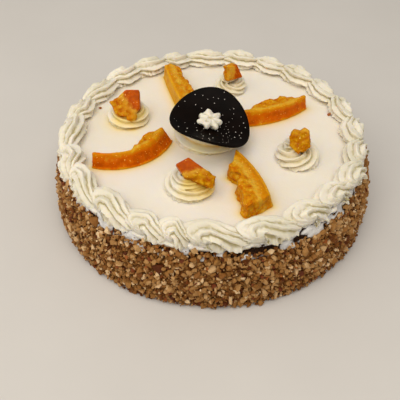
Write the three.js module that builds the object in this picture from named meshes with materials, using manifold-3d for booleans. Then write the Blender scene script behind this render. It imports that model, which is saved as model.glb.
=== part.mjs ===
// Round almond cake. A sponge coated with chopped almonds carries a white cream top with a piped
// shell border. On the top stand rosettes with chunks of candied orange, four candied orange
// slices, and a mound of cream with a curved chocolate disc and a cream star.
// Millimetres, +Z up, origin at the middle of the underside.

import * as THREE from 'three';
import { mergeVertices } from 'three/addons/utils/BufferGeometryUtils.js';
import Module from 'manifold-3d';

// Clearance between pieces that touch.
const GAP = 0.3;

// Sponge body, without the almonds.
const BODY_HEIGHT = 50;
const BASE_RADIUS = 117;
const WIDEST_RADIUS = 118.3;
const WIDEST_HEIGHT = 22;
const SHOULDER_RADIUS = 112.3;
const BODY_SEGMENTS = 64;
const BODY_RINGS = 4;
const CRAG_DEPTH = 0.8;

// Chopped almonds on the side of the body.
const NIB_ROWS = 4;
const NIBS_IN_ROW = 34;
const NIB_SIZE = new THREE.Vector3(5.6, 4.4, 3.6);
const NIB_UNEVENNESS = 0.32;
const NIB_SMALLEST = 0.8;
const NIB_LARGEST = 1.08;
const NIB_SINK = 0.5;
const NIB_LOWEST = 4.6;
const NIB_HIGHEST = 44.5;
const NIB_STRAY = 3.5;
const NIB_EDGE_STRAY = 1.2;
const NIB_SHIFT = 0.35;
const NIB_SEED = 20;

// Cream top.
const CREAM_RADIUS = 113;
const CREAM_THICKNESS = 4.7;
const CREAM_EDGE = 2.4;
const CREAM_SEGMENTS = 48;
const CREAM_LEVEL = BODY_HEIGHT + GAP + CREAM_THICKNESS;
const DECK = CREAM_LEVEL + GAP;

// Piped shells of the border. On a full head the ridges curl up from low on the outside, and the tail
// runs on under the next head. A span is one shell's share of the ring, in degrees.
const SHELL_START = -170;
const SHELL_SPANS = [
  12, 18, 17, 13, 9, 18, 19, 15, 14, 14, 14, 15, 16, 15, 15, 14, 15, 17, 11, 14, 14, 17, 13, 21,
];
const SHELL_RADIUS = 105.3;
const SHELL_OVERLAP = 1.6;
const SHELL_WIDTH = 16.8;
const SHELL_HEIGHT = 13.4;
const SHELL_SINK = 1;
const SHELL_HEAD = 12;
const SHELL_HEAD_SHARE = 0.45;
const SHELL_HEAD_TILT = THREE.MathUtils.degToRad(62);
const SHELL_HEAD_AXIS = new THREE.Vector3(0.34, 0, 0.94).normalize();
const SHELL_TAIL_OUT = 5.5;
const SHELL_TAIL_FULLNESS = 0.7;
const SHELL_TAIL_HEIGHT = 0.2;
const SHELL_TAIL_CURVE = 1.5;
const SHELL_LOBES = 6;
const SHELL_LOBE_DEPTH = 0.15;
const SHELL_RINGS = 6;
const SHELL_VARIATION = 0.06;
const SHELL_WANDER = 1;
const SHELL_SEED = 7;

// Rosettes: a rope of cream wound up to a point.
const ROSETTES = {
  left_back: { x: -64.3, y: 25, radius: 16.2, height: 18.5, turns: 2.3 },
  back: { x: 16.3, y: 67, radius: 13.2, height: 17.5, turns: 2.1 },
  right: { x: 61.5, y: -25, radius: 15.6, height: 19, turns: 2.1 },
  front: { x: -16, y: -56, radius: 17.4, height: 19.5, turns: 2.6 },
};
const CENTRE_MOUND = { x: -5, y: 3, radius: 24.5, height: 20, turns: 1.6 };
const ROSETTE_SIDES = 20;
const ROSETTE_RINGS = 10;
const ROSETTE_ROPE = 0.1;
const ROSETTE_CROWN = 0.8;

// Chunks of candied orange: outline across and up the leaning front face, then how thick it is.
const CHUNKS = {
  left_back: {
    place: [-65.8, 17.3, 72],
    lean: 47,
    yaw: 0,
    thickness: 9,
    outline: [[-11.8, 3.3], [-5, 7], [0, 12], [10, 12], [10.5, -1], [5, -8.5], [-6, -6.5]],
  },
  back: {
    place: [18, 60, 74.5],
    lean: 72,
    yaw: 22,
    thickness: 9,
    outline: [[-6.3, -5.5], [-4.2, 5.2], [2.6, 5.8], [6.6, -5]],
  },
  right: {
    place: [61.4, -29.8, 76],
    lean: 55,
    yaw: -8,
    thickness: 8,
    outline: [[-7.2, 4.7], [-5, 7], [-1, 6.1], [1.8, 8.5], [5, 7], [6.3, -4.7], [-1.4, -9.4], [-6.8, -4.7]],
  },
  front: {
    place: [-12.7, -64.3, 76],
    lean: 45,
    yaw: 6,
    thickness: 9,
    outline: [[-12, 6], [-3.5, 9.7], [7.6, 0.4], [13, -4.4], [11, -11], [3, -7.6], [-6.6, -3.2]],
  },
};

// Candied orange slices: the rind follows an arc and leans in, and the pulp behind it has a torn edge
// that a slant turns a little further. Arc, slant and lean run from one end of the slice to the other.
const SLICE_THICKNESS = 11.5;
const SLICE_BACK_SLOPE = 1;
const SLICES = {
  left: {
    centre: [-72.8, 6.3],
    radius: 43.7,
    arc: [-108, -18],
    slant: 0,
    lean: [2.5, 7],
    widths: [5, 5.5, 6.5, 6.5, 12, 15.5, 14.5, 9],
  },
  right: {
    centre: [19.1, 90.3],
    radius: 76.5,
    arc: [-88, -43.5],
    slant: 0,
    lean: [3.5, 1.5],
    widths: [7, 7.5, 13, 16, 14.5, 14.5, 7, 4.5],
  },
  front: {
    centre: [-71.7, -94.6],
    radius: 112.5,
    arc: [36.8, 9.8],
    slant: -5,
    lean: [2.6, 2.6],
    widths: [4, 9, 18, 17, 14, 19, 21, 20, 19.5, 22, 20],
  },
  back: {
    centre: [384.9, 175.1],
    radius: 434.2,
    arc: [-167.9, -160.5],
    slant: 0,
    lean: [1, 1],
    widths: [8.5, 13.5, 13.8, 12.3, 12.8, 14.8, 15.2, 15.5, 16, 15, 11],
  },
};
const SLICE_TEAR = 0.6;
const SLICE_SEED = 3;
const SLICE_ARC_STEPS = 9;

// Chocolate disc, bent like a crisp and leaning on the centre mound.
const DISC_RADIUS = 29.8;
const DISC_THICKNESS = 2.4;
const DISC_SEGMENTS = 32;
const DISC_RINGS = 3;
const DISC_BEND = 0.025;
const DISC_BEND_AZIMUTH = THREE.MathUtils.degToRad(81);
const DISC_TILT_BACK = THREE.MathUtils.degToRad(6.4);
const DISC_TILT_RIGHT = THREE.MathUtils.degToRad(12);
const DISC_PLACE = new THREE.Vector3(-2.3, -9.6, 74);

// Cream star on the disc.
const STAR_PLACE = new THREE.Vector2(-1.3, 0.5);
const STAR_RADIUS = 8.8;
const STAR_HEIGHT = 6.5;
const STAR_POINTS = 8;
const STAR_POINT_DEPTH = 0.2;
const STAR_RINGS = 6;
const STAR_SINK = 0.8;

// Corners this close are one corner.
const SAME_POINT = 1e-3;

const wasm = await Module();
wasm.setup();

const random = (low, high) => low + (high - low) * THREE.MathUtils.seededRandom();

// Only positions, with shared corners joined.
function joined(geometry) {
  geometry.deleteAttribute('normal');
  geometry.deleteAttribute('uv');
  return mergeVertices(geometry, SAME_POINT);
}

function solidOf(geometry) {
  return new wasm.Manifold(new wasm.Mesh({
    numProp: 3,
    vertProperties: new Float32Array(geometry.attributes.position.array),
    triVerts: new Uint32Array(geometry.index.array),
  }));
}

function geometryOf(solid) {
  const mesh = solid.getMesh();
  const geometry = new THREE.BufferGeometry();
  geometry.setAttribute('position', new THREE.BufferAttribute(mesh.vertProperties, 3));
  geometry.setIndex(new THREE.BufferAttribute(mesh.triVerts, 1));
  return geometry;
}

// The main body of a cut piece, without loose scraps.
function mainBody(solid) {
  const bodies = solid.decompose();
  return bodies.reduce((best, body) => (body.volume() > best.volume() ? body : best));
}

// Moves every corner of a geometry by a rule.
function reshape(geometry, rule) {
  const position = geometry.attributes.position;
  const point = new THREE.Vector3();
  for (let i = 0; i < position.count; i += 1) {
    rule(point.fromBufferAttribute(position, i));
    position.setXYZ(i, point.x, point.y, point.z);
  }
  return geometry;
}

// A closed skin with two poles: along runs from 0 to 1 between them, around is the angle about them.
function skin(sides, rings, rule) {
  const direction = new THREE.Spherical();
  const geometry = reshape(new THREE.SphereGeometry(1, sides, rings), (point) => {
    direction.setFromVector3(point);
    point.set(...rule(direction.phi / Math.PI, direction.theta));
  });
  return joined(geometry);
}

function turned(profile, segments) {
  return joined(new THREE.LatheGeometry(profile, segments).rotateX(Math.PI / 2));
}

// Radius of the bare side at a height.
const sideCurve = new THREE.SplineCurve([
  new THREE.Vector2(BASE_RADIUS, 0),
  new THREE.Vector2(WIDEST_RADIUS, WIDEST_HEIGHT),
  new THREE.Vector2(SHOULDER_RADIUS, BODY_HEIGHT),
]);

function spongeBody() {
  const side = sideCurve.getPoints(BODY_RINGS);
  const profile = [new THREE.Vector2(0, 0), ...side, new THREE.Vector2(0, BODY_HEIGHT)];
  return reshape(turned(profile, BODY_SEGMENTS), (point) => {
    const onSide = point.z > GAP && point.z < BODY_HEIGHT - GAP;
    const radius = Math.hypot(point.x, point.y);
    const crag = onSide ? 1 + random(-CRAG_DEPTH, CRAG_DEPTH) / radius : 1;
    point.x *= crag;
    point.y *= crag;
  });
}

// One chopped almond: a block with every corner knocked about.
function nib(size) {
  const block = joined(new THREE.BoxGeometry(size.x, size.y, size.z));
  const jitter = () => 1 + random(-NIB_UNEVENNESS, NIB_UNEVENNESS);
  reshape(block, (point) => point.set(point.x * jitter(), point.y * jitter(), point.z * jitter()));
  block.rotateX(random(0, Math.PI));
  block.rotateY(random(0, Math.PI));
  return block.rotateZ(random(0, Math.PI));
}

function cakeBody() {
  THREE.MathUtils.seededRandom(NIB_SEED);
  let body = solidOf(spongeBody());
  const rowHeight = (NIB_HIGHEST - NIB_LOWEST) / (NIB_ROWS - 1);
  const pitch = (2 * Math.PI) / NIBS_IN_ROW;
  for (let row = 0; row < NIB_ROWS; row += 1) {
    for (let place = 0; place < NIBS_IN_ROW; place += 1) {
      const angle = (place + row / 2 + random(-NIB_SHIFT, NIB_SHIFT)) * pitch;
      const inside = row > 0 && row < NIB_ROWS - 1;
      const stray = inside ? random(-NIB_STRAY, NIB_STRAY) : random(0, NIB_EDGE_STRAY);
      const height = NIB_LOWEST + row * rowHeight + stray;
      const side = sideCurve.getPoint(height / BODY_HEIGHT);
      const almond = nib(NIB_SIZE.clone().multiplyScalar(random(NIB_SMALLEST, NIB_LARGEST)));
      almond.translate(side.x + NIB_SINK, 0, height);
      body = body.add(solidOf(almond.rotateZ(angle)));
    }
  }
  return geometryOf(mainBody(body));
}

function creamTop() {
  const edge = new THREE.Path();
  const low = BODY_HEIGHT + GAP;
  edge.moveTo(0, low);
  edge.lineTo(CREAM_RADIUS, low);
  edge.lineTo(CREAM_RADIUS, CREAM_LEVEL - CREAM_EDGE);
  edge.absarc(CREAM_RADIUS - CREAM_EDGE, CREAM_LEVEL - CREAM_EDGE, CREAM_EDGE, 0, Math.PI / 2);
  edge.lineTo(0, CREAM_LEVEL);
  return turned(edge.getPoints(1), CREAM_SEGMENTS);
}

// One shell, laid along the ring from +X, with lobes from a star nozzle.
function shell(span) {
  const size = random(1 - SHELL_VARIATION, 1 + SHELL_VARIATION);
  const width = SHELL_WIDTH * size;
  const height = SHELL_HEIGHT * size;
  const radius = SHELL_RADIUS + random(-SHELL_WANDER, SHELL_WANDER);
  const length = SHELL_OVERLAP * radius * span;
  const way = new THREE.Vector3();
  return skin(2 * SHELL_LOBES, SHELL_RINGS, (along, around) => {
    const head = Math.max(0, 1 - along / SHELL_HEAD_SHARE);
    const tail = Math.max(0, (along - SHELL_HEAD_SHARE) / (1 - SHELL_HEAD_SHARE));
    const taper = Math.max(0, Math.cos((Math.PI * tail) / 2)) ** SHELL_TAIL_FULLNESS;
    const swell = Math.cos((Math.PI * head) / 2) * taper;
    const lobe = swell * (1 + SHELL_LOBE_DEPTH * Math.cos(SHELL_LOBES * around));
    way.set(-lobe * Math.sin(around), -Math.sin((Math.PI * head) / 2), lobe * Math.cos(around));
    way.applyAxisAngle(SHELL_HEAD_AXIS, SHELL_HEAD_TILT * head);
    const drawn = tail ** SHELL_TAIL_CURVE;
    const angle = (SHELL_HEAD * (1 + way.y) + (length - SHELL_HEAD) * tail) / radius;
    const out = radius + SHELL_TAIL_OUT * drawn + (width * way.x) / 2;
    const lift = height * THREE.MathUtils.lerp(0.5, SHELL_TAIL_HEIGHT, drawn) - SHELL_SINK;
    return [out * Math.cos(angle), out * Math.sin(angle), DECK + lift + (height * way.z) / 2];
  });
}

function pipedBorder() {
  THREE.MathUtils.seededRandom(SHELL_SEED);
  const above = new THREE.BoxGeometry(3 * SHELL_RADIUS, 3 * SHELL_RADIUS, SHELL_RADIUS);
  above.translate(0, 0, DECK + SHELL_RADIUS / 2);
  let ring = null;
  let turn = SHELL_START;
  for (const span of SHELL_SPANS) {
    const piece = solidOf(shell(THREE.MathUtils.degToRad(span)).rotateZ(THREE.MathUtils.degToRad(turn)));
    ring = ring ? ring.add(piece) : piece;
    turn += span;
  }
  return geometryOf(mainBody(ring.intersect(solidOf(joined(above)))));
}

// A wound rope of cream: a dome whose side steps out along a spiral.
function swirl({ x, y, radius, height, turns }) {
  const lastSide = (ROSETTE_RINGS - 1) / ROSETTE_RINGS;
  return skin(ROSETTE_SIDES, ROSETTE_RINGS, (along, around) => {
    const onBase = along > lastSide + 0.5 / ROSETTE_RINGS;
    const side = Math.min(along / lastSide, 1);
    const rope = 1 + ROSETTE_ROPE * Math.cos(2 * Math.PI * turns * side - around) * Math.sin(Math.PI * side);
    const reach = onBase ? 0 : radius * Math.sin(side * Math.PI / 2) * rope;
    return [
      x + reach * Math.cos(around),
      y + reach * Math.sin(around),
      onBase ? DECK : DECK + height * Math.cos(side * Math.PI / 2) ** ROSETTE_CROWN,
    ];
  });
}

// A chunk of orange, or the slightly larger bed that it presses into the cream.
function chunk({ place, lean, yaw, thickness, outline }, margin = 0) {
  const reach = Math.max(...outline.map(([across, up]) => Math.hypot(across, up)));
  const corners = outline.map(([across, up]) => new THREE.Vector2(across, up));
  const grow = 1 + 2 * margin / reach;
  const shape = new THREE.Shape(corners.map((corner) => corner.multiplyScalar(grow)));
  const depth = thickness + 2 * margin;
  const block = new THREE.ExtrudeGeometry(shape, { depth, bevelEnabled: false });
  block.translate(0, 0, margin - depth);
  block.rotateX(THREE.MathUtils.degToRad(lean));
  block.rotateZ(THREE.MathUtils.degToRad(yaw));
  block.translate(...place);
  return joined(block);
}

function slice({ centre, radius, arc, slant, lean, widths }) {
  const [from, to] = arc.map(THREE.MathUtils.degToRad);
  const tornTo = to + THREE.MathUtils.degToRad(slant);
  const outline = new THREE.Shape();
  outline.absarc(0, 0, radius, from, to, to < from);
  widths.toReversed().forEach((width, i) => {
    const angle = THREE.MathUtils.lerp(tornTo, from, i / (widths.length - 1));
    const torn = radius - width + random(-SLICE_TEAR, SLICE_TEAR);
    outline.lineTo(torn * Math.cos(angle), torn * Math.sin(angle));
  });
  const piece = new THREE.ExtrudeGeometry(outline, {
    depth: SLICE_THICKNESS,
    bevelEnabled: false,
    curveSegments: SLICE_ARC_STEPS,
  });
  const leaning = reshape(joined(piece), (point) => {
    const reach = Math.hypot(point.x, point.y);
    const along = (Math.atan2(point.y, point.x) - from) / (to - from);
    const onRind = reach > radius - SAME_POINT;
    const inset = onRind ? THREE.MathUtils.lerp(...lean, along) : -SLICE_BACK_SLOPE;
    const drawnIn = 1 - (inset * point.z) / (SLICE_THICKNESS * reach);
    point.x *= drawnIn;
    point.y *= drawnIn;
  });
  return leaning.translate(...centre, DECK);
}

// Turns a piece that is flat on the disc's own plane into its place on the cake.
function onDisc(geometry) {
  const across = Math.cos(DISC_BEND_AZIMUTH);
  const up = Math.sin(DISC_BEND_AZIMUTH);
  reshape(geometry, (point) => {
    const run = point.x * across + point.y * up;
    point.z += 0.5 * DISC_BEND * run * run;
  });
  geometry.rotateX(DISC_TILT_BACK);
  geometry.rotateY(DISC_TILT_RIGHT);
  return geometry.translate(...DISC_PLACE);
}

function chocolateDisc(margin = 0) {
  const half = DISC_THICKNESS / 2 + margin;
  const reach = DISC_RADIUS + margin;
  const profile = [];
  for (let ring = 0; ring <= DISC_RINGS; ring += 1) {
    profile.push(new THREE.Vector2((reach * ring) / DISC_RINGS, -half));
  }
  for (let ring = DISC_RINGS; ring >= 0; ring -= 1) {
    profile.push(new THREE.Vector2((reach * ring) / DISC_RINGS, half));
  }
  return onDisc(turned(profile, DISC_SEGMENTS));
}

function creamStar() {
  const base = DISC_THICKNESS / 2 - STAR_SINK;
  return onDisc(skin(2 * STAR_POINTS, STAR_RINGS, (along, around) => {
    const onBase = along > 1 - 0.5 / STAR_RINGS;
    const side = Math.min((along * STAR_RINGS) / (STAR_RINGS - 1), 1);
    const point = 1 + STAR_POINT_DEPTH * Math.cos(STAR_POINTS * around) * side;
    const reach = onBase ? 0 : STAR_RADIUS * (1 - STAR_POINT_DEPTH) * Math.sin(side * Math.PI / 2) * point;
    return [
      STAR_PLACE.x + reach * Math.cos(around),
      STAR_PLACE.y + reach * Math.sin(around),
      base + (onBase ? 0 : STAR_HEIGHT * Math.cos(side * Math.PI / 2)),
    ];
  }));
}

// A piece with the bed of its neighbour cut out of it.
function cutBy(geometry, bed) {
  return geometryOf(mainBody(solidOf(geometry).subtract(solidOf(bed))));
}

const ALMOND = new THREE.MeshStandardMaterial({ color: 0xb48a54, roughness: 0.75, metalness: 0 });
const CREAM = new THREE.MeshStandardMaterial({ color: 0xf3e9d8, roughness: 0.45, metalness: 0 });
const PIPED_CREAM = new THREE.MeshStandardMaterial({ color: 0xf1ead8, roughness: 0.5, metalness: 0 });
const CANDIED_ORANGE = new THREE.MeshStandardMaterial({ color: 0xd2741a, roughness: 0.25, metalness: 0 });
const CHOCOLATE = new THREE.MeshStandardMaterial({ color: 0x1c1210, roughness: 0.4, metalness: 0 });

const cake = new THREE.Group();

function addPiece(name, geometry, material) {
  const mesh = new THREE.Mesh(geometry, material);
  mesh.name = name;
  cake.add(mesh);
}

addPiece('cake_body', cakeBody(), ALMOND);
addPiece('cream_top', creamTop(), CREAM);
addPiece('piped_border', pipedBorder(), PIPED_CREAM);

for (const [place, rosette] of Object.entries(ROSETTES)) {
  const bed = chunk(CHUNKS[place], GAP);
  addPiece(`rosette_${place}`, cutBy(swirl(rosette), bed), PIPED_CREAM);
  addPiece(`orange_chunk_${place}`, chunk(CHUNKS[place]), CANDIED_ORANGE);
}

THREE.MathUtils.seededRandom(SLICE_SEED);
for (const [place, spec] of Object.entries(SLICES)) {
  addPiece(`orange_slice_${place}`, slice(spec), CANDIED_ORANGE);
}

const discBed = chocolateDisc(GAP);
addPiece('centre_mound', cutBy(swirl(CENTRE_MOUND), discBed), PIPED_CREAM);
addPiece('chocolate_disc', chocolateDisc(), CHOCOLATE);
addPiece('cream_star', cutBy(creamStar(), discBed), PIPED_CREAM);

export default cake;
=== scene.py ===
from math import acos, atan2, cos, exp, hypot, pi, radians, sin

import bmesh
import bpy
import numpy as np
from mathutils import Matrix, Vector, noise
from mathutils.bvhtree import BVHTree


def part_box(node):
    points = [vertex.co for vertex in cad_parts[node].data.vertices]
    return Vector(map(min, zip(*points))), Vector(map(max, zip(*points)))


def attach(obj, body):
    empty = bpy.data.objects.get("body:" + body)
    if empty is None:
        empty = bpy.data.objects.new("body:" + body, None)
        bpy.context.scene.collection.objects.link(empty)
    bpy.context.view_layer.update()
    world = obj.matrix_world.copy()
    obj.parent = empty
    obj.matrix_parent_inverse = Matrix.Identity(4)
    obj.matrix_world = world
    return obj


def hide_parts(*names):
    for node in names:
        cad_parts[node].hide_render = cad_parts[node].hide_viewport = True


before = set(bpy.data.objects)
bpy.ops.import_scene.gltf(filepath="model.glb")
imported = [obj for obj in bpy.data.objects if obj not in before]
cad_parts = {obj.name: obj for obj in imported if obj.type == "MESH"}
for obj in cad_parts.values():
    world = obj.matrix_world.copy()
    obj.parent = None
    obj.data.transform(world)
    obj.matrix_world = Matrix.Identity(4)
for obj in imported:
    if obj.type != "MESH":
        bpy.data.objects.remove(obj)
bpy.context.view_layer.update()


# The sponge is a dark baked round, cut level. A thin, patchy mask of cream on its side holds the
# chopped almonds and their dust, and shows as a torn white strip where they stop short of the border.
MM = 0.001
SPONGE_TOP = 54.2
SPONGE_BASE_RADIUS = 115.6
SPONGE_WIDEST_RADIUS = 117.0
SPONGE_WIDEST_HEIGHT = 22.0
SPONGE_SHOULDER_RADIUS = 111.6
SPONGE_SHOULDER_HEIGHT = 50.0
SPONGE_STEPS = 400
SPONGE_ROUGHNESS = 0.7
SPONGE_ROUGHNESS_GRAIN = 3.0
SIDE_MARGIN = 2.0
SMEAR_FROM = 40.0
SMEAR_FADE = 6.0
DUST_FADE = 2.0
SMEAR_THICKNESS = 1.5
SMEAR_GRAIN = 9.0
SPONGE_RINGS = [*np.arange(0.0, SMEAR_FROM, 2.5), *np.arange(SMEAR_FROM, SPONGE_TOP, 0.8), SPONGE_TOP]

side_curve = np.polyfit(
    [0.0, SPONGE_WIDEST_HEIGHT, SPONGE_SHOULDER_HEIGHT],
    [SPONGE_BASE_RADIUS, SPONGE_WIDEST_RADIUS, SPONGE_SHOULDER_RADIUS],
    2,
)


def side_radius(height):
    """The sponge's radius at a height, in millimetres, the unit that every piece is shaped in."""
    return np.polyval(side_curve, height)


def spun(profile, steps):
    """A closed round from a profile of (radius, height) points that starts and ends on the axis."""
    shape = bmesh.new()
    row = [shape.verts.new((radius, 0.0, height)) for radius, height in profile]
    rim = [shape.edges.new(pair) for pair in zip(row, row[1:])]
    bmesh.ops.spin(
        shape, geom=row + rim, cent=(0, 0, 0), axis=(0, 0, 1), angle=2 * pi, steps=steps, use_merge=True
    )
    bmesh.ops.remove_doubles(shape, verts=shape.verts, dist=1e-4)
    bmesh.ops.recalc_face_normals(shape, faces=shape.faces)
    return shape


def put_in_frame(name, shape, material, slot, *nodes):
    """Makes a piece of a shape in millimetres: turns it into metres and sets it in place of the nodes."""
    bmesh.ops.scale(shape, vec=(MM, MM, MM), verts=shape.verts)
    mesh = bpy.data.meshes.new(name)
    shape.to_mesh(mesh)
    shape.free()
    return set_on_cake(name, mesh, material, slot, *nodes)


def set_on_cake(name, mesh, material, slot, *nodes):
    """Makes a mesh in metres a piece of the cake."""
    mesh.materials.append(material)
    piece = bpy.data.objects.new(name, mesh)
    bpy.context.scene.collection.objects.link(piece)
    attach(piece, "root")
    if nodes:
        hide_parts(*nodes)
    return piece


def mark(piece, name, values):
    """Stores one number for each vertex, for the piece's material to read."""
    layer = piece.data.attributes.new(name, "FLOAT", "POINT")
    layer.data.foreach_set("value", np.asarray(values, dtype=np.float32))


def rounded(shape):
    """Shades the whole shape smooth."""
    for face in shape.faces:
        face.smooth = True
    return shape


def ease(low, high, value):
    """0 below low, 1 above high, and a smooth step between."""
    share = min(1.0, max(0.0, (value - low) / (high - low)))
    return share * share * (3 - 2 * share)


def paint(red, green, blue):
    """A screen colour, 0 to 255, as the linear colour that a shader takes."""
    levels = [level / 255 for level in (red, green, blue)]
    return (*[v / 12.92 if v <= 0.04045 else ((v + 0.055) / 1.055) ** 2.4 for v in levels], 1.0)


class Wire:
    """A socket in a material. Sums and products of wires add their Math nodes."""

    def __init__(self, tree, socket=None):
        self.tree = tree
        self.socket = socket

    def node(self, kind, settings=None, sockets=None, output=0):
        """Adds any other node: its settings first, then the values or wires of its sockets."""
        made = self.tree.nodes.new(kind)
        for name, value in (settings or {}).items():
            if name == "stops":
                self.set_stops(made.color_ramp, value)
            else:
                setattr(made, name, value)
        for name, value in (sockets or {}).items():
            if isinstance(value, Wire):
                self.tree.links.new(value.socket, made.inputs[name])
            else:
                made.inputs[name].default_value = value
        return Wire(self.tree, made.outputs[output])

    def set_stops(self, ramp, stops):
        """Gives a colour ramp its (place, colour) stops."""
        while len(ramp.elements) < len(stops):
            ramp.elements.new(1.0)
        for element, (place, colour) in zip(ramp.elements, stops):
            element.position = place
            element.color = colour

    def math(self, operation, first, second):
        return self.node("ShaderNodeMath", {"operation": operation}, {0: first, 1: second})

    def __add__(self, other):
        return self.math("ADD", self, other)

    def __sub__(self, other):
        return self.math("SUBTRACT", self, other)

    def __rsub__(self, other):
        return self.math("SUBTRACT", other, self)

    def __mul__(self, other):
        return self.math("MULTIPLY", self, other)

    __radd__ = __add__
    __rmul__ = __mul__

    def step(self, low, high):
        """0 where the wire is below low, 1 above high, and smooth between."""
        return self.node(
            "ShaderNodeMapRange",
            {"interpolation_type": "SMOOTHSTEP"},
            {"Value": self, "From Min": low, "From Max": high},
        )

    def blend(self, plain, full):
        """The colour plain where the wire is 0 and full where it is 1."""
        return self.node("ShaderNodeMix", {"data_type": "RGBA"}, {"Factor": self, 6: plain, 7: full}, 2)

    def grain(self, size, detail=3.0):
        """Noise with grains of that size in millimetres, on this wire's coordinates."""
        scale = 1 / (size * MM)
        return self.node("ShaderNodeTexNoise", None, {"Vector": self, "Scale": scale, "Detail": detail})

    def attribute(self, name):
        return self.node("ShaderNodeAttribute", {"attribute_name": name}, None, "Fac")


def new_material(name):
    """A material with no nodes yet, the wire that adds them, and the piece's own coordinates."""
    material = bpy.data.materials.new(name)
    material.use_nodes = True
    material.node_tree.nodes.clear()
    start = Wire(material.node_tree)
    return material, start, start.node("ShaderNodeTexCoord", output="Object")


def finish_material(start, colour, roughness, relief, depth, finish):
    """Closes a material: colour, roughness, relief of that depth in millimetres, and even settings."""
    bump = start.node("ShaderNodeBump", None, {"Height": relief, "Distance": depth * MM, "Strength": 1.0})
    skin = start.node(
        "ShaderNodeBsdfPrincipled",
        {"subsurface_method": "RANDOM_WALK"},
        {"Base Color": colour, "Roughness": roughness, "Normal": bump, **finish},
    )
    output = start.tree.nodes.new("ShaderNodeOutputMaterial")
    start.tree.links.new(skin.socket, output.inputs["Surface"])


def sponge_material():
    material, start, here = new_material("masked_sponge")
    crumb = here.grain(1.1, 4.0)
    smear = start.attribute("smear")
    streak = here.grain(5.0)
    bare = crumb.step(0.35, 0.7).blend(paint(16, 9, 5), paint(64, 34, 14))
    dusted = crumb.step(0.3, 0.7).blend(paint(74, 38, 12), paint(142, 92, 42))
    sponge = start.attribute("dust").blend(bare, dusted)
    # The smear's cream is painted greyer and cooler than the cream of the top: painted shade, as it lies on
    # the side under the overhanging border. Its streaks vary at random.
    cream = streak.step(0.3, 0.7).blend(paint(190, 187, 184), paint(234, 230, 224))
    finish_material(
        start,
        smear.step(0.25, 0.7).blend(sponge, cream),
        0.85 - 0.35 * smear,
        crumb,
        0.5,
        {"Specular IOR Level": 0.1},
    )
    return material


sponge = spun([(0.0, 0.0), *[(side_radius(z), z) for z in SPONGE_RINGS], (0.0, SPONGE_TOP)], SPONGE_STEPS)
smears = []
for point in sponge.verts:
    reach = hypot(point.co.x, point.co.y)
    on_side = reach > SPONGE_SHOULDER_RADIUS - SIDE_MARGIN
    patch = noise.fractal(point.co / SMEAR_GRAIN, 1.0, 2.0, 3)
    masked = ease(SMEAR_FROM, SMEAR_FROM + SMEAR_FADE, point.co.z)
    smear = masked * ease(-0.1, 0.25, patch) if on_side else 0.0
    smears.append(smear)
    swell = SMEAR_THICKNESS * smear + SPONGE_ROUGHNESS * noise.noise(point.co / SPONGE_ROUGHNESS_GRAIN)
    if on_side:
        point.co.xy *= 1 + swell / reach
core = put_in_frame("sponge_core", rounded(sponge), sponge_material(), "chopped_almond", "cake_body")
mark(core, "smear", smears)
heights = [point.co.z / MM for point in core.data.vertices]
mark(core, "dust", [ease(SMEAR_FROM + SMEAR_FADE, SMEAR_FROM - DUST_FADE, height) for height in heights])


# The coat is of chopped almonds, 2 to 5 mm across, pressed into the masked side by hand. Most are pale
# or toasted nibs, some are long slivers, some keep their brown skin, and fine crumbs fill in between.
# Two crumbs have strayed onto the cream.
COAT_TOP = 52.0
COAT_TOP_STRAY = 3.0
COAT_TOP_GRAIN = 16.0
COAT_DIPS = [(-80, 12, 4.5), (-55, 18, 6.0), (-133, 6, 5.0)]
COAT_FOOT = 0.9
STRAY_CRUMBS = [(-88.9, 37.8, 55.7), (91.8, 29.4, 55.6)]
STRAY_TONE = 0.95
COAT_SEED = 20
SHAPES_OF_A_KIND = 20
NIB_CORNERS = 14
SLIVER_CORNERS = 12
CRUMB_CORNERS = 9
BLOCKINESS = 4
# Nibs low down near the foot are painted darker by up to this much: painted shade.
FOOT_SHADE = 0.25
FOOT_SHADE_HEIGHT = 9.0

draw = np.random.default_rng(COAT_SEED)


def chopped_shape(corners):
    """One chopped bit about 1 across, as its points and triangles: a blunt block with uneven facets."""
    ways = draw.normal(size=(corners, 3))
    ways /= (np.abs(ways) ** BLOCKINESS).sum(axis=1, keepdims=True) ** (1 / BLOCKINESS)
    shape = bmesh.new()
    for way in ways:
        shape.verts.new(0.5 * way)
    bmesh.ops.convex_hull(shape, input=shape.verts)
    inside = [point for point in shape.verts if not point.link_faces]
    bmesh.ops.delete(shape, geom=inside, context="VERTS")
    bmesh.ops.recalc_face_normals(shape, faces=shape.faces)
    shape.verts.index_update()
    points = np.array([point.co for point in shape.verts])
    triangles = np.array([[point.index for point in face.verts] for face in shape.faces])
    shape.free()
    return points, triangles


def unit(ways):
    """The same directions, each of length 1."""
    return ways / np.linalg.norm(ways, axis=1, keepdims=True)


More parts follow.
